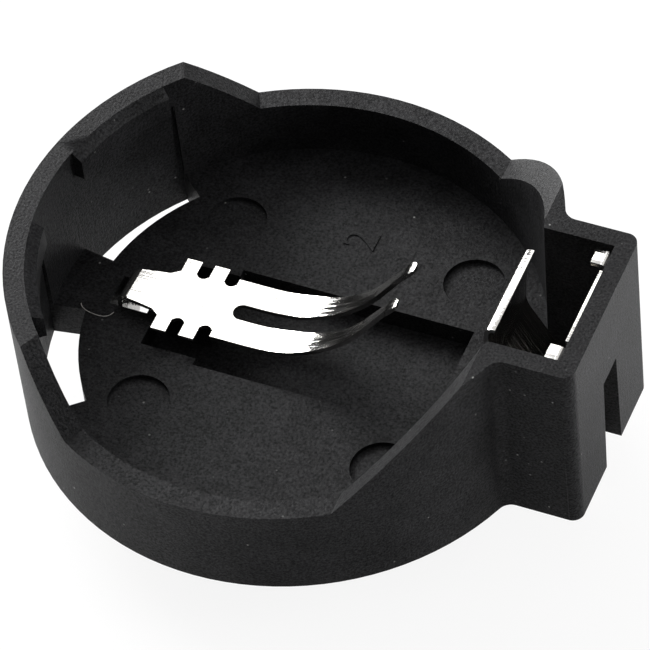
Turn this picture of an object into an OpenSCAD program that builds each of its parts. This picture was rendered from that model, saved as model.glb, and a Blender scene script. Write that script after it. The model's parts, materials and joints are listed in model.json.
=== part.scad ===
// Through-hole holder for one 20 mm coin cell.
// X runs from the retaining lips to the contact box, Y across, Z up.
// The origin is on the cup's axis, on the underside that sits on the circuit board.

/* [Coin cell] */
// Diameter of the coin cell
cell_d = 20; // [18:0.5:24]
// Thickness of the coin cell
cell_t = 3.2; // [2.4:0.1:4]
// Room between the cell's rim and the cup's wall, at the floor
cell_clearance = 0.41; // [0.3:0.01:0.8]
// Room between the cell's top and the underside of the lips
lip_clearance = 0.33; // [0.1:0.01:0.6]

/* [Cup] */
// Thickness of the cup's wall, at the floor
wall_t = 0.99; // [0.8:0.01:1.6]
// Draft of the cup's inner wall, in degrees
draft = 1.2; // [0:0.1:2]
// Thickness of the cup's floor
floor_t = 1.75; // [1.4:0.05:2.4]
// Height of the low wall above the floor
low_wall_h = 2.7; // [1.5:0.1:3.4]

/* [Ramps] */
// Where the ramps beside the lips cross the wall, in degrees from +X
tall_ramp_at = 127; // [122:1:131]
// Slope of the ramps beside the lips, in degrees
tall_ramp_slope = 45; // [38:1:52]
// How far those ramps are turned from the X axis, in degrees
tall_ramp_turn = 27; // [10:1:35]
// Where the ramps beside the box cross the wall, in degrees from +X
box_ramp_at = 46; // [43:1:50]
// Slope of the ramps beside the box, in degrees
box_ramp_slope = 48.5; // [42:0.5:54]

/* [Lips] */
// Height of the lips, from their underside to the top of the tall wall
lip_h = 1.37; // [1:0.05:2]
// Height of a lip's inner face, below its lead-in slope
lip_face_h = 1.05; // [0.5:0.05:1.2]
// How far a lip reaches in from the cup's wall at the floor
lip_reach = 0.36; // [0.2:0.02:0.6]
// End of a lip beside its ramp, in degrees from +X
lip_from = 141.5; // [139:0.5:150]
// End of a lip beside the negative contact, in degrees from +X
lip_to = 169.3; // [160:0.5:172]
// Width of the window below each lip
window_w = 1.6; // [1:0.1:2]
// How far the window and its core pass each end of a lip, in degrees
window_over = 1.8; // [0.5:0.1:3]
// How deep the window's core cuts into the wall's face
core_step = 0.19; // [0.05:0.01:0.3]

/* [Contact box] */
// Height of the box above the top of the tall wall
box_rise = 1.7; // [0.5:0.1:3]
// Outer width of the box
box_w = 7.76; // [7.2:0.02:9]
// How far the box reaches out past the cup
box_reach = 2.5; // [2.2:0.05:4]
// Thickness of the box's side walls
box_side_t = 0.8; // [0.6:0.05:1]
// Thickness of the box's end wall
box_end_t = 0.8; // [0.6:0.05:1]
// Thickness of the box's floor
box_floor_t = 1; // [0.6:0.05:1.3]
// Radius of the box's outer corners
box_corner_r = 0.5; // [0.2:0.05:0.7]
// Radius of the fillet between the box and the cup
box_fillet_r = 0.6; // [0.2:0.05:1]
// Height of the slot in the box's end wall
slot_h = 5.15; // [3:0.05:6]
// Width of that slot at its top
slot_top_w = 1.4; // [1:0.05:2]
// Width of that slot at its open bottom
slot_bottom_w = 1.68; // [1:0.02:2.2]

/* [Floor] */
// Width of the trough below the spring fingers
trough_w = 5.36; // [4.8:0.02:6]
// Depth of the trough and of the plate's recess
trough_depth = 1; // [0.4:0.05:1.2]
// Length of the trough's reach past the fingers' tips
trough_past_tips = 1.5; // [0.5:0.1:2.5]
// Room round the plate in its recess
recess_clearance = 0.37; // [0.1:0.01:0.5]
// Diameter of the four ejector marks
mark_d = 2.6; // [1.5:0.1:3]
// Depth of the ejector marks
mark_depth = 0.2; // [0.1:0.05:0.4]
// Distance across, between the marks' centres
mark_across = 10.2; // [9:0.1:12]
// Distance of the marks beside the lips from the cup's axis, along X
mark_left = 4.85; // [4:0.05:6]
// Distance of the marks beside the box from the cup's axis, along X
mark_right = 5.9; // [4:0.05:6.5]

/* [Contacts] */
// Thickness of both contacts' sheet
sheet_t = 0.2; // [0.15:0.01:0.35]
// Inner radius of the tight bends
bend_r = 0.3; // [0.2:0.05:0.5]
// Inner radius of the small tabs' bends
tab_r = 0.1; // [0.05:0.01:0.2]
// How far the pins reach below the underside
pin_below = 3.2; // [2:0.1:5]
// Width of the pins
pin_w = 1; // [0.6:0.05:1.3]
// Distance between the two pins
pin_pitch = 20; // [19.5:0.1:20.5]

/* [Negative contact] */
// Height of the plate's underside above the floor
plate_lift = 0.55; // [0.2:0.05:0.9]
// Width across the plate's lobes
lobe_w = 3.92; // [3:0.02:4.4]
// Length of each lobe along X
lobe_l = 0.67; // [0.4:0.01:0.9]
// Width of each notch beside the lobes
notch_w = 0.58; // [0.3:0.01:0.8]
// Width left between opposite notches
notch_neck = 2.52; // [2:0.02:3]
// Where the first lobe starts, from the cup's axis
lobe_at = -5.62; // [-6:0.02:-5]
// Width of the tongue at its bend
tongue_w = 1.5; // [1.1:0.02:1.7]
// Width across both fingers
fingers_w = 3.2; // [2.8:0.02:3.6]
// Width of the slot between the fingers
finger_gap = 0.8; // [0.4:0.02:1]
// Where the fingers start to rise, from the cup's axis
rise_at = -1.5; // [-2:0.1:0]
// Radius of the fingers' rise
rise_r = 6.3; // [5:0.1:9]
// Steepest slope of the fingers, in degrees
rise_angle = 54; // [35:1:58]
// Straight length of a finger at that slope
rise_straight = 2; // [0.3:0.1:2.4]
// Radius of the bend that levels the fingers' tips
tip_r = 1.5; // [1:0.1:4]
// Slope left at the very tips, in degrees
tip_angle = 30; // [0:1:40]
// Width of a finger's neck, behind its tip
neck_w = 0.46; // [0.3:0.02:0.8]
// Width of a finger's round tip
tip_w = 0.66; // [0.5:0.02:1]
// Length of a finger's taper along X
taper_l = 4.6; // [2:0.1:5]

/* [Positive contact] */
// Width of the spring leaf
leaf_w = 4.34; // [3:0.02:5]
// How far the leaf's bow reaches inside the cavity's wall
leaf_press = 1.08; // [0.5:0.01:1.3]
// Lean of the leaf below its bow, in degrees from upright
leaf_lean = 30; // [26:1:36]
// Radius of the leaf's bow
bow_r = 1.4; // [1:0.1:3]
// Lean of the leaf above its bow, in degrees from upright
top_lean = 5; // [2:1:10]
// Radius of the bend at the leaf's top
curl_r = 0.22; // [0.2:0.02:0.5]
// Depth of the leaf's top below the box's rim
curl_below = 0.42; // [0.2:0.02:1]
// Radius of the two bends at the foot of the leaf
foot_r = 0.3; // [0.24:0.02:0.5]
// Straight length between those bends
foot_l = 0.5; // [0.3:0.05:0.7]
// Depth of the back plate's top below the box's rim
back_below = 0.25; // [0.1:0.05:1]
// Room between the back plate and the box's side walls
back_clearance = 0.13; // [0.05:0.01:0.4]
// Width of each bent tab at the back plate's top corners
tab_w = 0.75; // [0.4:0.05:1]
// Reach of each tab from the back plate's face
tab_l = 0.5; // [0.4:0.05:0.8]
// Width of the gap beside each tab
tab_gap = 0.3; // [0.2:0.05:0.5]
// Depth of that gap below the back plate's top
tab_gap_h = 0.9; // [0.6:0.05:1.5]

/* [Hidden] */
$fn = 128;
eps = 0.01;          // overlap that lets cuts pass a face
play = 0.02;         // gap between a contact and the plastic that locates it
slip = 0.1;          // room round the positive pin in its slot
tongue_room = 0.4;   // room outside the negative tongue's bend, along X
pin_cut = 0.2;       // gap cut beside the positive pin
pin_cut_h = 1;       // height of that cut in the leaf, above its foot
bend_step = 5;       // degrees of a bend that one facet spans, at most

cavity_r = cell_d / 2 + cell_clearance;
finger_y = (fingers_w + finger_gap) / 4;               // middle of a finger, across
outer_r = cavity_r + wall_t;
plate_z = floor_t + plate_lift;                        // underside of the negative plate
seat_z = plate_z + sheet_t;                            // where the cell rests
lip_z = seat_z + cell_t + lip_clearance;               // underside of the lips
low_h = floor_t + low_wall_h;
tall_h = lip_z + lip_h;
box_h = tall_h + box_rise;
box_x = outer_r + box_reach;                           // outer face of the box
chamber_x = box_x - box_end_t;                         // inner face of its end wall
chamber_w = box_w - 2 * box_side_t;
everywhere = 2 * box_x;                                // longer than the whole part
core_r = cavity_r + core_step;                         // wall face behind the windows

// Centre line of the fingers' profile, past the flat plate: [turn, radius, straight]
mid_t = sheet_t / 2;
finger_bends = [[rise_angle, rise_r + mid_t, rise_straight],
                [tip_angle - rise_angle, tip_r + mid_t, 0]];
finger_path = bent_path([rise_at, plate_z + mid_t, 0], finger_bends);
tip_x = finger_path[len(finger_path) - 1][0];
root_x = lobe_at + 2 * (lobe_l + notch_w);             // where the fingers leave the plate
neck_x = tip_x - 0.8 * tip_w;                          // where the taper ends
back_x = chamber_x - mid_t;                            // middle of the back plate's sheet

back_w = chamber_w - 2 * back_clearance;
// The positive contact's side view, from the top of its back plate to the top of its leaf
back_top = box_h - back_below;
foot_c = foot_r + mid_t;                               // centre line radius of the foot's bends
bow_c = bow_r + mid_t;
curl_c = curl_r + mid_t;
tab_c = tab_r + mid_t;
foot_z = box_floor_t + mid_t;
positive_x = back_x - foot_c - tab_c;                  // middle of the positive pin's sheet
negative_x = positive_x - pin_pitch;                   // middle of the negative pin's sheet
bow_x = cavity_r - leaf_press + mid_t;                 // centre line at the bow's innermost point
lean_x = back_x - foot_c - foot_l - foot_c * cos(leaf_lean);
lean_l = (lean_x - bow_x - bow_c * (1 - cos(leaf_lean))) / sin(leaf_lean);
bow_z = foot_z + foot_c * (1 - sin(leaf_lean)) + lean_l * cos(leaf_lean) + bow_c * sin(leaf_lean);
curl_z = box_h - curl_below - mid_t - curl_c;          // centre of the top bend
upper_l = (curl_z + curl_c * sin(top_lean) - bow_z - bow_c * sin(top_lean)) / cos(top_lean);
leaf_path = bent_path([back_x, foot_z + foot_c, -90],
    [[-90, foot_c, foot_l], [leaf_lean - 90, foot_c, lean_l],
     [-leaf_lean - top_lean, bow_c, upper_l], [top_lean - 100, curl_c, 0]]);
chamber_start = sqrt(pow(cavity_r, 2) - pow(chamber_w / 2, 2)) - eps;

function cavity_r_at(z) = cavity_r + (z - floor_t) * tan(draft);

// Points [x, z, heading] along one bend of a strip, after its starting point
function bend_points(from, turn, r) =
    let (side = sign(turn), n = ceil(abs(turn) / bend_step),
         cx = from[0] - side * r * sin(from[2]), cz = from[1] + side * r * cos(from[2]))
    [for (i = [1:n]) let (a = from[2] + turn * i / n)
        [cx + side * r * sin(a), cz - side * r * cos(a), a]];

// The point a straight length further on
function ahead(from, l) = [from[0] + l * cos(from[2]), from[1] + l * sin(from[2]), from[2]];

// Centre line of a bent strip: each bend is [turn, radius, straight length after it]
function bent_path(from, bends, i = 0) =
    i == len(bends) ? [from] :
    let (bend = concat([from], bend_points(from, bends[i][0], bends[i][1])),
         end = bend[len(bend) - 1],
         on = ahead(end, bends[i][2]))
    concat([for (k = [0:len(bend) - (bends[i][2] > 0 ? 1 : 2)]) bend[k]],
           bent_path(on, bends, i + 1));

// Outline of a strip of even thickness along its centre line
function strip_outline(path, t) =
    concat([for (p = path) [p[0] - t / 2 * sin(p[2]), p[1] + t / 2 * cos(p[2])]],
           [for (i = [len(path) - 1:-1:0]) let (p = path[i])
               [p[0] + t / 2 * sin(p[2]), p[1] - t / 2 * cos(p[2])]]);

// A profile in the XZ plane, made a solid across Y
module across(w) {
    rotate([90, 0, 0]) linear_extrude(height = w, center = true) children();
}

// The space above the low wall and a ramp that climbs from it in the direction toward.
// Halfway up, the ramp crosses the cup's outer wall at the angle at.
module above_ramp(at, slope, toward, to_h) {
    half_run = (to_h - low_h) / 2 / tan(slope);
    past = half_run + (box_h + 1 - to_h) / tan(slope);
    rotate([0, 0, toward]) translate([outer_r * cos(at - toward), 0, 0])
        across(2 * everywhere)
            polygon([[-everywhere, low_h], [-half_run, low_h], [past, box_h + 1],
                     [-everywhere, box_h + 1]]);
}

// The box as a full block, with round outer corners
module box_block() {
    round_at = box_w / 2 - box_corner_r;
    translate([0, -box_w / 2, 0]) cube([box_x - box_corner_r, box_w, box_h]);
    translate([0, -round_at, 0]) cube([box_x, 2 * round_at, box_h]);
    for (s = [-1, 1])
        translate([box_x - box_corner_r, s * round_at, 0]) cylinder(r = box_corner_r, h = box_h);
}

// The fillet that fills the corner between the box's side and the cup
module box_fillet(s) {
    y = box_w / 2 + box_fillet_r;
    x = sqrt(pow(outer_r + box_fillet_r, 2) - y * y);
    touch = outer_r / (outer_r + box_fillet_r);
    difference() {
        linear_extrude(height = box_h)
            polygon([[0, s], [x, s], [x, s * y], [touch * x, touch * s * y]]);
        translate([x, s * y, -eps]) cylinder(r = box_fillet_r, h = box_h + 2 * eps);
    }
}

module outer_form() {
    difference() {
        union() {
            cylinder(r = outer_r, h = box_h);
            box_block();
            for (s = [-1, 1]) box_fillet(s);
        }
        translate([-everywhere, -everywhere, tall_h]) cube([everywhere, 2 * everywhere, box_h]);
        for (s = [-1, 1]) intersection() {
            above_ramp(s * tall_ramp_at, tall_ramp_slope, s * (180 + tall_ramp_turn), tall_h);
            above_ramp(s * box_ramp_at, box_ramp_slope, 0, box_h);
        }
    }
}

module cavity() {
    top = box_h + 1;
    rotate_extrude()
        polygon([[0, floor_t], [cavity_r, floor_t], [cavity_r_at(top), top], [0, top]]);
}

// A sector of a ring, between two angles on one side of the cup
module sector(from, to, s) {
    rotate([0, 0, s > 0 ? from : -to]) rotate_extrude(angle = to - from) children();
}

module lip(s) {
    root = cavity_r + wall_t / 2;
    inner = cavity_r - lip_reach;
    sector(lip_from, lip_to, s)
        polygon([[inner, lip_z], [root, lip_z], [root, tall_h], [cavity_r_at(tall_h), tall_h],
                 [inner, lip_z + lip_face_h]]);
}

// The moulding core that passes through the floor and forms a lip's underside
module window(s) {
    sector(lip_from - window_over, lip_to + window_over, s)
        translate([core_r - window_w, -eps]) square([window_w, lip_z + eps]);
}

module box_cuts() {
    translate([chamber_start, -chamber_w / 2, box_floor_t])
        cube([chamber_x - chamber_start, chamber_w, box_h]);
    translate([chamber_x - eps, 0, 0]) rotate([90, 0, 90])
        linear_extrude(height = box_end_t + 2 * eps)
            polygon([[-slot_bottom_w / 2, -eps], [slot_bottom_w / 2, -eps],
                     [slot_top_w / 2, slot_h], [-slot_top_w / 2, slot_h]]);
    translate([positive_x - mid_t - slip, -pin_w / 2 - slip, -eps])
        cube([sheet_t + tab_c + slip, pin_w + 2 * slip, box_floor_t + 2 * eps]);
}

module floor_cuts() {
    bottom = floor_t - trough_depth;
    recess_w = lobe_w + 2 * recess_clearance;
    recess_x = lobe_at - recess_clearance;
    trough_x = root_x - recess_clearance;
    tongue_slot_l = sheet_t + tongue_room + bend_r + recess_clearance;
    translate([trough_x, -trough_w / 2, bottom])
        cube([tip_x + trough_past_tips - trough_x, trough_w, floor_t]);
    difference() {
        translate([recess_x, -recess_w / 2, bottom])
            cube([trough_x - recess_x + eps, recess_w, floor_t]);
        plate_pad();
    }
    translate([negative_x - mid_t - tongue_room, -tongue_w / 2 - play, -eps])
        cube([tongue_slot_l, tongue_w + 2 * play, floor_t + 1]);
    translate([negative_x, -tongue_w / 2 - play, bottom])
        cube([recess_x - negative_x + eps, tongue_w + 2 * play, floor_t]);
    for (x = [-mark_left, mark_right], s = [-1, 1])
        translate([x, s * mark_across / 2, floor_t - mark_depth]) cylinder(d = mark_d, h = floor_t);
}

// The pad in the recess that carries the negative contact's plate
module plate_pad() {
    pad_w = notch_neck - 2 * recess_clearance;
    translate([lobe_at, -pad_w / 2, floor_t - trough_depth - eps])
        cube([root_x - lobe_at - recess_clearance, pad_w, plate_z - floor_t + trough_depth + eps]);
}

module housing() {
    color([0.09, 0.09, 0.1]) {
        difference() {
            outer_form();
            cavity();
            box_cuts();
            floor_cuts();
            for (s = [-1, 1]) window(s);
        }
        for (s = [-1, 1]) lip(s);
        plate_pad();
    }
}

// Plan of the negative contact: tongue, lobes with notches between them, two fingers
module negative_plan() {
    half = notch_neck / 2;
    difference() {
        union() {
            polygon([[negative_x, tongue_w / 2], [lobe_at - recess_clearance, tongue_w / 2 + 0.24],
                     [lobe_at + eps, half], [lobe_at + eps, -half],
                     [lobe_at - recess_clearance, -tongue_w / 2 - 0.24], [negative_x, -tongue_w / 2]]);
            translate([lobe_at, -half]) square([root_x - lobe_at + eps, notch_neck]);
            for (i = [0, 1]) translate([lobe_at + i * (lobe_l + notch_w), -lobe_w / 2])
                square([lobe_l, lobe_w]);
            for (m = [0, 1]) mirror([0, m]) translate([0, finger_y]) finger_plan();
        }
        for (i = [1, 2], s = [-1, 1])
            translate([lobe_at + i * (lobe_l + notch_w) - notch_w / 2, s * (half + notch_w / 4)])
                circle(d = notch_w);
        translate([root_x + finger_gap, 0]) {
            circle(d = finger_gap);
            translate([0, -finger_gap / 2]) square([1, finger_gap]);
        }
    }
}

// Plan of one finger: its straight part, its taper and its round tip
module finger_plan() {
    finger_w = (fingers_w - finger_gap) / 2;
    taper_x = neck_x - taper_l;
    translate([root_x + finger_gap + 1 - eps, -finger_w / 2])
        square([taper_x - root_x - finger_gap - 1 + 2 * eps, finger_w]);
    translate([root_x, -finger_y]) square([finger_gap + 1, finger_y + finger_w / 2]);
    polygon([[taper_x, -finger_w / 2], [neck_x + tip_w / 4, -neck_w / 2],
             [neck_x + tip_w / 4, neck_w / 2], [taper_x, finger_w / 2]]);
    translate([tip_x - tip_w / 2, 0]) circle(d = tip_w);
}

module negative_contact() {
    bend_x = negative_x + bend_r + mid_t;
    down_bend = bent_path([bend_x, plate_z + mid_t, 180], [[90, bend_r + mid_t, 0]]);
    color([0.8, 0.8, 0.8]) {
        intersection() {
            across(box_w)
                polygon(strip_outline(concat([[bend_x, plate_z + mid_t, 0]], finger_path), sheet_t));
            linear_extrude(height = box_h) negative_plan();
        }
        across(tongue_w) polygon(strip_outline(down_bend, sheet_t));
        pin(negative_x, plate_z - bend_r, tongue_w);
    }
}

// A flat pin of sheet that narrows below the board side and ends in a point
module pin(x, top, top_w) {
    shoulder = 0.3;
    tip = pin_w / 2;
    translate([x - mid_t, 0, 0]) rotate([90, 0, 90]) linear_extrude(height = sheet_t)
        polygon([[-top_w / 2, top + eps], [-top_w / 2, shoulder], [-pin_w / 2, 0],
                 [-pin_w / 2, tip - pin_below], [-tip / 2, -pin_below], [tip / 2, -pin_below],
                 [pin_w / 2, tip - pin_below], [pin_w / 2, 0], [top_w / 2, shoulder],
                 [top_w / 2, top + eps]]);
}

// The back plate, cut from the sheet, with a gap beside each tab
module back_plate() {
    gap_y = back_w / 2 - tab_w - tab_gap / 2;
    foot_top = foot_z + foot_c;
    difference() {
        translate([back_x - mid_t, -back_w / 2, foot_top])
            cube([sheet_t, back_w, back_top - foot_top]);
        for (s = [-1, 1]) {
            translate([back_x - sheet_t, s * gap_y - tab_gap / 2, back_top - tab_gap_h])
                cube([2 * sheet_t, tab_gap, tab_gap_h + eps]);
            translate([back_x - sheet_t, s * (back_w - tab_w) / 2, back_top - mid_t - tab_c])
                translate([0, -tab_w / 2 - eps, 0]) cube([2 * sheet_t, tab_w + 2 * eps, box_h]);
        }
    }
}

module tab(s) {
    bend = bent_path([back_x, back_top - mid_t - tab_c, 90],
                     [[90, tab_c, tab_l + mid_t - tab_c]]);
    translate([0, s * (back_w - tab_w) / 2, 0]) across(tab_w) polygon(strip_outline(bend, sheet_t));
}

// The spring leaf and its foot, with the window the pin was cut from
module leaf() {
    window_w = pin_w + 2 * pin_cut;
    difference() {
        across(leaf_w) polygon(strip_outline(leaf_path, sheet_t));
        translate([0, -window_w / 2, 0])
            cube([back_x - foot_c, window_w, foot_z + foot_c + pin_cut_h]);
    }
}

module positive_contact() {
    color([0.8, 0.8, 0.8]) {
        back_plate();
        leaf();
        for (s = [-1, 1]) tab(s);
        across(pin_w) polygon(strip_outline(
            bent_path([back_x - foot_c + eps, foot_z, 180], [[90, tab_c + eps, 0]]), sheet_t));
        pin(positive_x, foot_z - tab_c, pin_w);
    }
}

housing();
negative_contact();
positive_contact();
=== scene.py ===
import json
import logging
import math
from collections.abc import Sequence
from dataclasses import dataclass, field
from enum import Enum
from typing import Any

import bmesh
import bpy
from mathutils import Matrix, Vector

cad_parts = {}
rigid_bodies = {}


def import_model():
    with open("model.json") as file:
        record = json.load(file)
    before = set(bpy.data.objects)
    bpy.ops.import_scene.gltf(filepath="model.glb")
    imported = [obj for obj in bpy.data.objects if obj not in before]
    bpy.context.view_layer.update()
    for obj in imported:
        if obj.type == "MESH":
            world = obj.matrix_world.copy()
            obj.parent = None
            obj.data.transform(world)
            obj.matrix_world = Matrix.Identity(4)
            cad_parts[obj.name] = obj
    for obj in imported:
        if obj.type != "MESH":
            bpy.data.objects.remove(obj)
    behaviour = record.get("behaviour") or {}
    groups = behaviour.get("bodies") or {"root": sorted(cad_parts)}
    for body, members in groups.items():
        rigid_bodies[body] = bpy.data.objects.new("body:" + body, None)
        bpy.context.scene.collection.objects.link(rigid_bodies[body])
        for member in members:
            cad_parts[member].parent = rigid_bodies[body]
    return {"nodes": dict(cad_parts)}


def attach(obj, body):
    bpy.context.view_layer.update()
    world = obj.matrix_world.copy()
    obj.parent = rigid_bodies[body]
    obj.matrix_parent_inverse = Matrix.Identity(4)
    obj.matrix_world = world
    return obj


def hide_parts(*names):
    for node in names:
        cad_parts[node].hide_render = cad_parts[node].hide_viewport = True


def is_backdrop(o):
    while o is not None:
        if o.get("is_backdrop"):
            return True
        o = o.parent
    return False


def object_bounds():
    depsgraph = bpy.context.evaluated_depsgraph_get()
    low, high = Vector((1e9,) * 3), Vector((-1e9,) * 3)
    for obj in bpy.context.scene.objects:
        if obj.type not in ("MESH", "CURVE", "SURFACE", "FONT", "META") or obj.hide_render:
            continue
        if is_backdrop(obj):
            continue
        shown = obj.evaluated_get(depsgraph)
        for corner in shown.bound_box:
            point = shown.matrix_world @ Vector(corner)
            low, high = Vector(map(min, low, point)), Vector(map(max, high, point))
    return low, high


MM: float = 0.001
FLOOR_GAP_MM: float = 0.02  # keeps the pin tips just clear of the paper
MERGE_MM: float = 0.001  # corners of the loose triangles closer than this are one
FLAT_DEG: float = 0.05  # faces that turn by less than this are one
CAP_SHARE: float = 0.7  # a capital's height as a share of the font's size

logging.basicConfig(level=logging.INFO, format="%(message)s")
log = logging.getLogger("coin_cell_holder")

Node = bpy.types.ShaderNode
Piece = bpy.types.Object
Colour = tuple[float, float, float, float]


class Body(Enum):
    """The rigid bodies of the frame that a piece can ride on."""

    HOLDER = "root"


class Slot(Enum):
    """The record's material slots."""

    PLASTIC = "housing_plastic"
    METAL = "contact_metal"


def linear(code: str) -> Colour:
    """Turns an sRGB hex value into a linear colour.

    Args:
        code: Six hex digits, such as "1c1c1e".

    Returns:
        Red, green, blue and alpha, linear.
    """
    parts = [int(code[i : i + 2], 16) / 255 for i in (0, 2, 4)]
    curve = [c / 12.92 if c <= 0.04045 else ((c + 0.055) / 1.055) ** 2.4 for c in parts]
    return (curve[0], curve[1], curve[2], 1.0)


def socket_key(name: str) -> str | int:
    """Reads a socket's name or, after a # or an n, its number.

    Args:
        name: Such as "Base Color", "Base_Color", "#1" or "n1".

    Returns:
        What the node's inputs are looked up by.
    """
    if name[0] in "#n" and name[1:].isdigit():
        return int(name[1:])
    return name.replace("_", " ")


def add_node(
    tree: bpy.types.NodeTree, kind: str, settings: dict[str, Any], **links: Any
) -> Node:
    """Adds a node with its settings and links.

    Args:
        tree: The node tree that gets the node.
        kind: The node's type name.
        settings: Attribute values, and socket values under the socket's name
            or number, such as "#1".
        links: Output sockets, each under the name of the input it feeds,
            with spaces written as underscores, or its number, such as n1.

    Returns:
        The new node.
    """
    node = tree.nodes.new(kind)
    for name, value in settings.items():
        if hasattr(node, name):
            setattr(node, name, value)
        else:
            node.inputs[socket_key(name)].default_value = value
    for name, socket in links.items():
        tree.links.new(socket, node.inputs[socket_key(name)])
    return node


def spread(old: Sequence[float], new: Sequence[float]) -> dict[str, float]:
    """Gives the settings that map one range of values onto another.

    Args:
        old: The range that comes in.
        new: The range that goes out.

    Returns:
        Socket values for a Map Range node.
    """
    return {"From Min": old[0], "From Max": old[1], "To Min": new[0], "To Max": new[1]}


def empty_material(name: str) -> tuple[bpy.types.Material, bpy.types.NodeTree, Node]:
    """Makes a material with nothing in it but its output.

    Args:
        name: The finish's name.

    Returns:
        The material, its node tree and its output node.
    """
    material = bpy.data.materials.new(name)
    material.use_nodes = True
    tree = material.node_tree
    tree.nodes.clear()
    return material, tree, tree.nodes.new("ShaderNodeOutputMaterial")


@dataclass(frozen=True)
class MouldedBlackPlastic:
    """Black glass-filled polyester, moulded in a spark-eroded tool.

    The tool's fine texture gives a matt grain with a wide soft sheen, and
    the part carries a little pale dust.
    """

    name: str = "moulded_black_polyester"
    colour: str = "19191a"
    dust_colour: str = "8c8c8a"
    grain_mm: float = 0.1  # true grain is about 0.03 mm, drawn coarser so that it shows
    mottle_mm: float = 1.6
    dust_every_mm: float = 0.55
    dust_edge: tuple[float, float] = (0.07, 0.1)  # where a speck fades, in speck spacings
    dust_pick: tuple[float, float] = (0.7, 0.9)  # cells above this hold a speck
    dust_cover: float = 0.7
    streak_mm: float = 0.12
    streak_squeeze: float = 0.06  # draws the streaks out upwards, as the tool opens
    streak_share: float = 0.35
    mottle_tone: tuple[float, float] = (0.7, 1.3)
    grain_tone: tuple[float, float] = (0.45, 1.55)
    tone_span: tuple[float, float] = (0.3, 0.7)
    sheen_span: tuple[float, float] = (0.35, 0.65)
    sheen: tuple[float, float] = (0.05, 0.14)  # low, as black polyester looks in this light
    relief_mm: float = 0.03
    relief_strength: float = 0.8
    roughness: float = 0.5
    roughness_spread: tuple[float, float] = (-0.05, 0.07)

    def build(self) -> bpy.types.Material:
        """Builds the material.

        Returns:
            The finished material.
        """
        material, tree, output = empty_material(self.name)
        place = add_node(tree, "ShaderNodeTexCoord", {}).outputs["Object"]
        grain = add_node(
            tree,
            "ShaderNodeTexNoise",
            {"Scale": 1 / (self.grain_mm * MM), "Detail": 3.0, "Roughness": 0.6},
            Vector=place,
        ).outputs["Fac"]
        mottle = add_node(
            tree,
            "ShaderNodeTexNoise",
            {"Scale": 1 / (self.mottle_mm * MM), "Detail": 4.0},
            Vector=place,
        ).outputs["Fac"]
        stretched = add_node(
            tree, "ShaderNodeMapping", {"Scale": (1.0, 1.0, self.streak_squeeze)}, Vector=place
        ).outputs["Vector"]
        streaks = add_node(
            tree,
            "ShaderNodeTexNoise",
            {"Scale": 1 / (self.streak_mm * MM), "Detail": 2.0},
            Vector=stretched,
        ).outputs["Fac"]
        specks = add_node(
            tree,
            "ShaderNodeTexVoronoi",
            {"Scale": 1 / (self.dust_every_mm * MM)},
            Vector=place,
        )
        near = add_node(
            tree,
            "ShaderNodeMapRange",
            spread(self.dust_edge, (1.0, 0.0)),
            Value=specks.outputs["Distance"],
        ).outputs["Result"]
        chosen = add_node(
            tree,
            "ShaderNodeMapRange",
            spread(self.dust_pick, (0.0, self.dust_cover)),
            Value=specks.outputs["Color"],
        ).outputs["Result"]
        dust = add_node(
            tree, "ShaderNodeMath", {"operation": "MULTIPLY"}, n0=near, n1=chosen
        ).outputs["Value"]
        shade = add_node(
            tree,
            "ShaderNodeMapRange",
            spread(self.tone_span, self.mottle_tone),
            Value=mottle,
        ).outputs["Result"]
        fine = add_node(
            tree,
            "ShaderNodeMapRange",
            spread(self.tone_span, self.grain_tone),
            Value=grain,
        ).outputs["Result"]
        tone = add_node(
            tree, "ShaderNodeMath", {"operation": "MULTIPLY"}, n0=shade, n1=fine
        ).outputs["Value"]
        base = add_node(
            tree,
            "ShaderNodeVectorMath",
            {"operation": "SCALE", "#0": linear(self.colour)[:3]},
            Scale=tone,
        ).outputs["Vector"]
        colour = add_node(
            tree,
            "ShaderNodeMix",
            {"data_type": "RGBA", "#7": linear(self.dust_colour)},
            n0=dust,
            n6=base,
        ).outputs[2]
        relief = add_node(
            tree,
            "ShaderNodeMath",
            {"operation": "MULTIPLY_ADD", "#1": self.streak_share},
            n0=streaks,
            n2=grain,
        ).outputs["Value"]
        bump = add_node(
            tree,
            "ShaderNodeBump",
            {"Strength": self.relief_strength, "Distance": self.relief_mm * MM},
            Height=relief,
        ).outputs["Normal"]
        gloss = add_node(
            tree,
            "ShaderNodeMapRange",
            spread((0.0, 1.0), [self.roughness + v for v in self.roughness_spread]),
            Value=grain,
        ).outputs["Result"]
        sheen = add_node(
            tree,
            "ShaderNodeMapRange",
            spread(self.sheen_span, self.sheen),
            Value=grain,
        ).outputs["Result"]
        surface = add_node(
            tree,
            "ShaderNodeBsdfPrincipled",
            {"IOR": 1.5},
            Base_Color=colour,
            Specular_IOR_Level=sheen,
            Roughness=gloss,
            Normal=bump,
        )
        tree.links.new(surface.outputs["BSDF"], output.inputs["Surface"])
        return material


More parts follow.
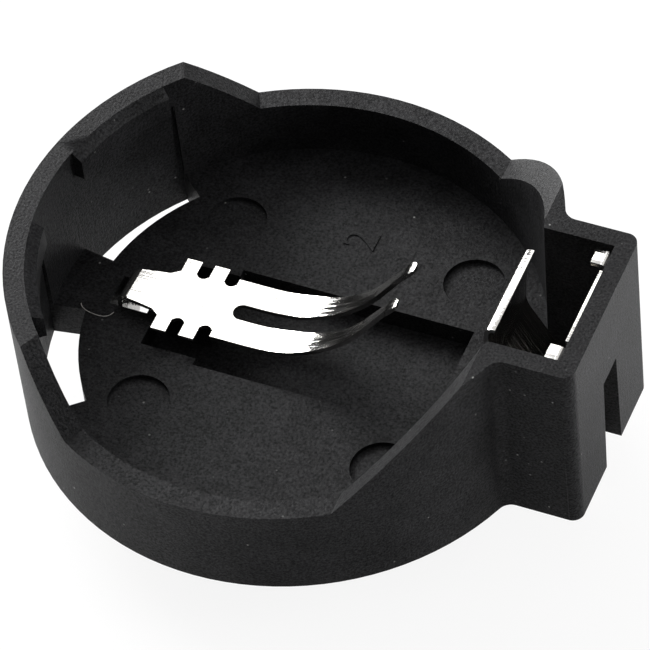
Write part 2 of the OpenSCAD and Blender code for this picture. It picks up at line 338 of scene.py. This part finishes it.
@dataclass(frozen=True)
class NickelPlatedSpring:
    """Bright nickel plate over phosphor bronze strip, blanked and bent.

    The rolled strip leaves faint lines along its length, so reflections
    break into streaks there.
    """

    name: str = "nickel_plated_spring_strip"
    colour: str = "e9e7e3"
    line_mm: float = 0.12  # true lines are finer, drawn coarser so that they show
    line_squeeze: float = 0.04  # draws the lines out along the strip
    relief_mm: float = 0.05
    relief_strength: float = 0.45
    roughness: float = 0.1
    roughness_spread: tuple[float, float] = (-0.06, 0.08)

    def build(self) -> bpy.types.Material:
        """Builds the material.

        Returns:
            The finished material.
        """
        material, tree, output = empty_material(self.name)
        place = add_node(tree, "ShaderNodeTexCoord", {}).outputs["Object"]
        along = add_node(
            tree,
            "ShaderNodeMapping",
            {"Scale": (self.line_squeeze, 1.0, self.line_squeeze)},
            Vector=place,
        ).outputs["Vector"]
        lines = add_node(
            tree,
            "ShaderNodeTexNoise",
            {"Scale": 1 / (self.line_mm * MM), "Detail": 3.0},
            Vector=along,
        ).outputs["Fac"]
        bump = add_node(
            tree,
            "ShaderNodeBump",
            {"Strength": self.relief_strength, "Distance": self.relief_mm * MM},
            Height=lines,
        ).outputs["Normal"]
        gloss = add_node(
            tree,
            "ShaderNodeMapRange",
            spread((0.0, 1.0), [self.roughness + v for v in self.roughness_spread]),
            Value=lines,
        ).outputs["Result"]
        surface = add_node(
            tree,
            "ShaderNodeBsdfPrincipled",
            {"Metallic": 1.0, "Base Color": linear(self.colour)},
            Roughness=gloss,
            Normal=bump,
        )
        tree.links.new(surface.outputs["BSDF"], output.inputs["Surface"])
        return material


@dataclass(frozen=True)
class CottonLint:
    """A loose grey-white cotton fibre, fuzzy and matt."""

    name: str = "cotton_lint"
    colour: str = "b4b2ae"
    mottle_mm: float = 0.2
    tone: tuple[float, float] = (0.4, 1.2)
    roughness: float = 0.95

    def build(self) -> bpy.types.Material:
        """Builds the material.

        Returns:
            The finished material.
        """
        material, tree, output = empty_material(self.name)
        place = add_node(tree, "ShaderNodeTexCoord", {}).outputs["Object"]
        fuzz = add_node(
            tree, "ShaderNodeTexNoise", {"Scale": 1 / (self.mottle_mm * MM)}, Vector=place
        ).outputs["Fac"]
        shade = add_node(
            tree, "ShaderNodeMapRange", spread((0.0, 1.0), self.tone), Value=fuzz
        ).outputs["Result"]
        base = add_node(
            tree,
            "ShaderNodeVectorMath",
            {"operation": "SCALE", "#0": linear(self.colour)[:3]},
            Scale=shade,
        ).outputs["Vector"]
        surface = add_node(
            tree, "ShaderNodeBsdfPrincipled", {"Roughness": self.roughness}, Base_Color=base
        )
        tree.links.new(surface.outputs["BSDF"], output.inputs["Surface"])
        return material


@dataclass(frozen=True)
class WhiteSweepPaper:
    """Matt white studio paper, nearly all white to the camera, with a faint shadow kept."""

    name: str = "white_sweep_paper"
    colour: str = "f4f4f4"
    whiteness: float = 0.88  # the share that the camera sees as plain white

    def build(self) -> bpy.types.Material:
        """Builds the material.

        Returns:
            The finished material.
        """
        material, tree, output = empty_material(self.name)
        paper = add_node(tree, "ShaderNodeBsdfDiffuse", {"Color": linear(self.colour)})
        glow = add_node(tree, "ShaderNodeEmission", {"Strength": 1.0})
        path = add_node(tree, "ShaderNodeLightPath", {})
        share = add_node(
            tree,
            "ShaderNodeMath",
            {"operation": "MULTIPLY", "#1": self.whiteness},
            n0=path.outputs["Is Camera Ray"],
        )
        mixed = add_node(
            tree,
            "ShaderNodeMixShader",
            {},
            n0=share.outputs["Value"],
            n1=paper.outputs["BSDF"],
            n2=glow.outputs["Emission"],
        )
        tree.links.new(mixed.outputs["Shader"], output.inputs["Surface"])
        return material


def deselect_all() -> None:
    """Leaves nothing selected and no object in edit mode."""
    if bpy.context.object is not None and bpy.context.object.mode != "OBJECT":
        bpy.ops.object.mode_set(mode="OBJECT")
    bpy.ops.object.select_all(action="DESELECT")


def pick(piece: Piece) -> None:
    """Selects one object and makes it active.

    Args:
        piece: The object to select.
    """
    deselect_all()
    piece.select_set(True)
    bpy.context.view_layer.objects.active = piece


def merged_copy(node: Piece, name: str) -> Piece:
    """Copies a solid's mesh and joins its loose triangles into clean faces.

    Args:
        node: The solid from the frame.
        name: The copy's name.

    Returns:
        The copy, in place and unscaled.
    """
    copy = bpy.data.objects.new(name, node.data.copy())
    bpy.context.scene.collection.objects.link(copy)
    copy.data.transform(node.matrix_world)
    pick(copy)
    bpy.ops.object.mode_set(mode="EDIT")
    bpy.ops.mesh.select_all(action="SELECT")
    bpy.ops.mesh.remove_doubles(threshold=MERGE_MM * MM)
    bpy.ops.mesh.dissolve_limited(angle_limit=math.radians(FLAT_DEG))
    bpy.ops.mesh.normals_make_consistent(inside=False)
    bpy.ops.object.mode_set(mode="OBJECT")
    if copy.data.attributes.get("custom_normal"):
        copy.data.attributes.remove(copy.data.attributes["custom_normal"])
    return copy


def mark_edges(piece: Piece, sharp_deg: float, narrow_mm: float) -> None:
    """Gives a bevel weight to the sharp edges that have room for a rounding.

    Args:
        piece: The mesh to mark.
        sharp_deg: Edges sharper than this are rounded.
        narrow_mm: An edge beside a face narrower than this stays sharp.
    """
    mesh = bmesh.new()
    mesh.from_mesh(piece.data)
    weight = mesh.edges.layers.float.new("bevel_weight_edge")
    for edge in mesh.edges:
        if len(edge.link_faces) != 2 or edge.calc_face_angle() < math.radians(sharp_deg):
            continue
        widths = [2 * face.calc_area() / face.calc_perimeter() for face in edge.link_faces]
        if min(widths) > narrow_mm * MM:
            edge[weight] = 1.0
    mesh.to_mesh(piece.data)
    mesh.free()


def soften_edges(piece: Piece, width_mm: float, sharp_deg: float, narrow_mm: float) -> None:
    """Rounds the sharp edges and shades the rest smooth.

    Args:
        piece: The mesh to finish.
        width_mm: Width of the rounding.
        sharp_deg: Edges sharper than this are rounded.
        narrow_mm: An edge beside a face narrower than this stays sharp.
    """
    mark_edges(piece, sharp_deg, narrow_mm)
    pick(piece)
    bevel = piece.modifiers.new("edge_round", "BEVEL")
    bevel.width = width_mm * MM
    bevel.segments = 2
    bevel.limit_method = "WEIGHT"
    bpy.ops.object.modifier_apply(modifier=bevel.name)
    bpy.ops.object.shade_smooth_by_angle(angle=math.radians(sharp_deg))
    even = piece.modifiers.new("even_normals", "WEIGHTED_NORMAL")
    even.weight = 50
    even.keep_sharp = True
    bpy.ops.object.modifier_apply(modifier=even.name)


def dress(piece: Piece, finish: bpy.types.Material) -> None:
    """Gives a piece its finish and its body.

    Args:
        piece: The finished mesh.
        finish: What it is made of.
    """
    piece.data.materials.clear()
    piece.data.materials.append(finish)
    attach(piece, Body.HOLDER.value)


@dataclass
class Housing:
    """The moulded cup with its contact box."""

    finish: bpy.types.Material
    edge_mm: float = 0.05
    sharp_deg: float = 28.0
    narrow_mm: float = 0.12

    def build(self, node: Piece) -> Piece:
        """Builds the housing from its solid.

        Args:
            node: The housing's solid.

        Returns:
            The finished piece.
        """
        piece = merged_copy(node, "housing_moulding")
        soften_edges(piece, self.edge_mm, self.sharp_deg, self.narrow_mm)
        dress(piece, self.finish)
        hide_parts("housing")
        return piece


@dataclass
class CavityNumber:
    """The plain number that the mould leaves standing on the floor."""

    finish: bpy.types.Material
    text: str = "2"
    high_mm: float = 1.5
    at_mm: tuple[float, float] = (0.6, 5.8)
    floor_z_mm: float = 1.75
    proud_mm: float = 0.05
    turn_deg: float = 90.0

    def build(self) -> Piece:
        """Builds the number.

        Returns:
            The finished piece.
        """
        deselect_all()
        x, y = self.at_mm
        bpy.ops.object.text_add(
            location=(x * MM, y * MM, self.floor_z_mm * MM),
            rotation=(0.0, 0.0, math.radians(self.turn_deg)),
        )
        piece = bpy.context.object
        piece.data.body = self.text
        piece.data.align_x = "CENTER"
        piece.data.align_y = "CENTER"
        piece.data.size = self.high_mm / CAP_SHARE * MM
        piece.data.extrude = self.proud_mm * MM
        bpy.ops.object.convert(target="MESH")
        bpy.ops.object.transform_apply(location=True, rotation=True, scale=True)
        piece = bpy.context.object
        piece.name = "cavity_number"
        dress(piece, self.finish)
        return piece


@dataclass
class LintFibre:
    """A pale fibre that lies on the floor near the tall wall."""

    finish: bpy.types.Material
    sharp_deg: float = 40.0
    thick_mm: float = 0.03
    path_mm: tuple[tuple[float, float, float], ...] = (
        (-9.2, -1.2, 1.8),
        (-8.9, -1.7, 1.84),
        (-8.3, -1.5, 1.86),
        (-7.9, -1.8, 1.8),
        (-7.7, -1.2, 1.8),
    )

    def build(self) -> Piece:
        """Builds the fibre.

        Returns:
            The finished piece.
        """
        deselect_all()
        bpy.ops.curve.primitive_nurbs_path_add(location=(0.0, 0.0, 0.0))
        piece = bpy.context.object
        piece.name = "lint_fibre"
        for point, place in zip(piece.data.splines[0].points, self.path_mm):
            point.co = (*(v * MM for v in place), 1.0)
        piece.data.bevel_depth = 0.5 * self.thick_mm * MM
        piece.data.bevel_resolution = 1
        piece.data.use_fill_caps = True
        bpy.ops.object.convert(target="MESH")
        piece = bpy.context.object
        bpy.ops.object.shade_smooth_by_angle(angle=math.radians(self.sharp_deg))
        dress(piece, self.finish)
        return piece


@dataclass
class SpringContact:
    """One bent strip contact."""

    finish: bpy.types.Material
    node_name: str
    edge_mm: float = 0.03
    sharp_deg: float = 40.0
    narrow_mm: float = 0.03

    def build(self, node: Piece) -> Piece:
        """Builds the contact from its solid.

        Args:
            node: The contact's solid.

        Returns:
            The finished piece.
        """
        piece = merged_copy(node, self.node_name + "_strip")
        soften_edges(piece, self.edge_mm, self.sharp_deg, self.narrow_mm)
        dress(piece, self.finish)
        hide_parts(self.node_name)
        return piece


@dataclass
class Lamp:
    """One soft box."""

    name: str
    at_mm: tuple[float, float, float]
    size_mm: tuple[float, float]
    watts: float

    def build(self, aim: Vector) -> None:
        """Hangs the lamp so that it faces a point.

        Args:
            aim: The point it faces, in metres.
        """
        deselect_all()
        bpy.ops.object.light_add(type="AREA", location=[v * MM for v in self.at_mm])
        lamp = bpy.context.object
        lamp.name = self.name
        lamp.data.shape = "RECTANGLE"
        lamp.data.size, lamp.data.size_y = (v * MM for v in self.size_mm)
        lamp.data.energy = self.watts
        lamp.rotation_euler = (aim - lamp.location).to_track_quat("-Z", "Y").to_euler()


@dataclass
class Studio:
    """White sweep, soft boxes and camera."""

    floor_z_mm: float
    floor_half_mm: float = 400.0
    aim_mm: tuple[float, float, float] = (1.281, 0.177, 2.708)
    camera_az_deg: float = 28.123
    camera_el_deg: float = 50.141
    camera_roll_deg: float = -7.143
    camera_away_mm: float = 199.0
    camera_lens_mm: float = 269.4
    camera_shift: tuple[float, float] = (0.0013, 0.0045)
    camera_clip: tuple[float, float] = (0.01, 10.0)  # metres
    back_level: float = 0.8
    front_level: float = 0.45
    level_turn: tuple[float, float] = (-0.3, 0.3)  # from the far side to the camera's side
    low_share: float = 0.08
    low_turn: tuple[float, float] = (0.3, 0.6)  # sine of the height where the room brightens
    lamps: list[Lamp] = field(
        default_factory=lambda: [
            Lamp("key_behind", (-60.0, 150.0, 150.0), (150.0, 120.0), 0.1),
            Lamp("side_right", (190.0, 60.0, 60.0), (80.0, 120.0), 0.4),
            Lamp("side_left", (-160.0, 100.0, 90.0), (120.0, 120.0), 0.9),
        ]
    )

    def build_camera(self) -> None:
        """Sets up the camera."""
        az, el, roll = (
            math.radians(v)
            for v in (self.camera_az_deg, self.camera_el_deg, self.camera_roll_deg)
        )
        back = Vector(
            (math.sin(az) * math.cos(el), -math.cos(az) * math.cos(el), math.sin(el))
        )
        right = Vector((math.cos(az), math.sin(az), 0.0))
        up = back.cross(right)
        tilted_right = right * math.cos(roll) + up * math.sin(roll)
        tilted_up = up * math.cos(roll) - right * math.sin(roll)
        turn = Matrix((tilted_right, tilted_up, back)).transposed()
        deselect_all()
        bpy.ops.object.camera_add(
            location=(Vector(self.aim_mm) + back * self.camera_away_mm) * MM,
            rotation=turn.to_euler(),
        )
        camera = bpy.context.object
        camera.name = "camera"
        camera.data.lens = self.camera_lens_mm
        camera.data.shift_x, camera.data.shift_y = self.camera_shift
        camera.data.clip_start, camera.data.clip_end = self.camera_clip
        bpy.context.scene.camera = camera

    def build_floor(self) -> Piece:
        """Lays the white sweep under the pins.

        Returns:
            The floor.
        """
        deselect_all()
        bpy.ops.mesh.primitive_plane_add(
            size=2 * self.floor_half_mm * MM, location=(0.0, 0.0, self.floor_z_mm * MM)
        )
        floor = bpy.context.object
        floor.name = "floor"
        floor.data.materials.append(WhiteSweepPaper().build())
        floor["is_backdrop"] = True
        return floor

    def build_world(self) -> None:
        """Lights the room, darker on the camera's side, and white to the camera."""
        world = bpy.data.worlds.new("white_room")
        bpy.context.scene.world = world
        world.use_nodes = True
        tree = world.node_tree
        tree.nodes.clear()
        output = tree.nodes.new("ShaderNodeOutputWorld")
        place = add_node(tree, "ShaderNodeTexCoord", {}).outputs["Generated"]
        az = math.radians(self.camera_az_deg)
        toward = add_node(
            tree,
            "ShaderNodeVectorMath",
            {"operation": "DOT_PRODUCT", "#1": (math.sin(az), -math.cos(az), 0.0)},
            n0=place,
        ).outputs["Value"]
        around = add_node(
            tree,
            "ShaderNodeMapRange",
            {
                "interpolation_type": "SMOOTHSTEP",
                **spread(self.level_turn, (self.back_level, self.front_level)),
            },
            Value=toward,
        ).outputs["Result"]
        height = add_node(tree, "ShaderNodeSeparateXYZ", {}, Vector=place).outputs["Z"]
        above = add_node(
            tree,
            "ShaderNodeMapRange",
            {
                "interpolation_type": "SMOOTHSTEP",
                **spread(self.low_turn, (self.low_share, 1.0)),
            },
            Value=height,
        ).outputs["Result"]
        room = add_node(
            tree, "ShaderNodeMath", {"operation": "MULTIPLY"}, n0=around, n1=above
        ).outputs["Value"]
        path = add_node(tree, "ShaderNodeLightPath", {})
        level = add_node(
            tree,
            "ShaderNodeMix",
            {"data_type": "FLOAT", "#3": 1.0},
            n0=path.outputs["Is Camera Ray"],
            n2=room,
        ).outputs[0]
        white = (1.0, 1.0, 1.0, 1.0)
        sky = add_node(tree, "ShaderNodeBackground", {"Color": white}, Strength=level)
        tree.links.new(sky.outputs["Background"], output.inputs["Surface"])

    def build(self) -> None:
        """Builds the whole studio."""
        self.build_world()
        self.build_floor()
        for lamp in self.lamps:
            lamp.build(Vector(self.aim_mm) * MM)
        self.build_camera()
        bpy.context.scene.view_settings.view_transform = "Standard"


def clear_startup() -> None:
    """Removes the objects that a new file starts with."""
    for thing in list(bpy.data.objects):
        bpy.data.objects.remove(thing)


def main() -> None:
    """Builds the holder and its studio."""
    clear_startup()
    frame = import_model()
    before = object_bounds()
    nodes = frame["nodes"]
    plastic = MouldedBlackPlastic().build()
    metal = NickelPlatedSpring().build()
    pieces = [Housing(plastic).build(nodes["housing"])]
    pieces.append(CavityNumber(plastic).build())
    pieces.append(LintFibre(CottonLint().build()).build())
    for name in ("negative_contact", "positive_contact"):
        pieces.append(SpringContact(metal, name).build(nodes[name]))
    for piece in pieces:
        log.info("built %s with %d faces", piece.name, len(piece.data.polygons))
    Studio(floor_z_mm=before[0].z / MM - FLOOR_GAP_MM).build()


if __name__ == "__main__":
    main()
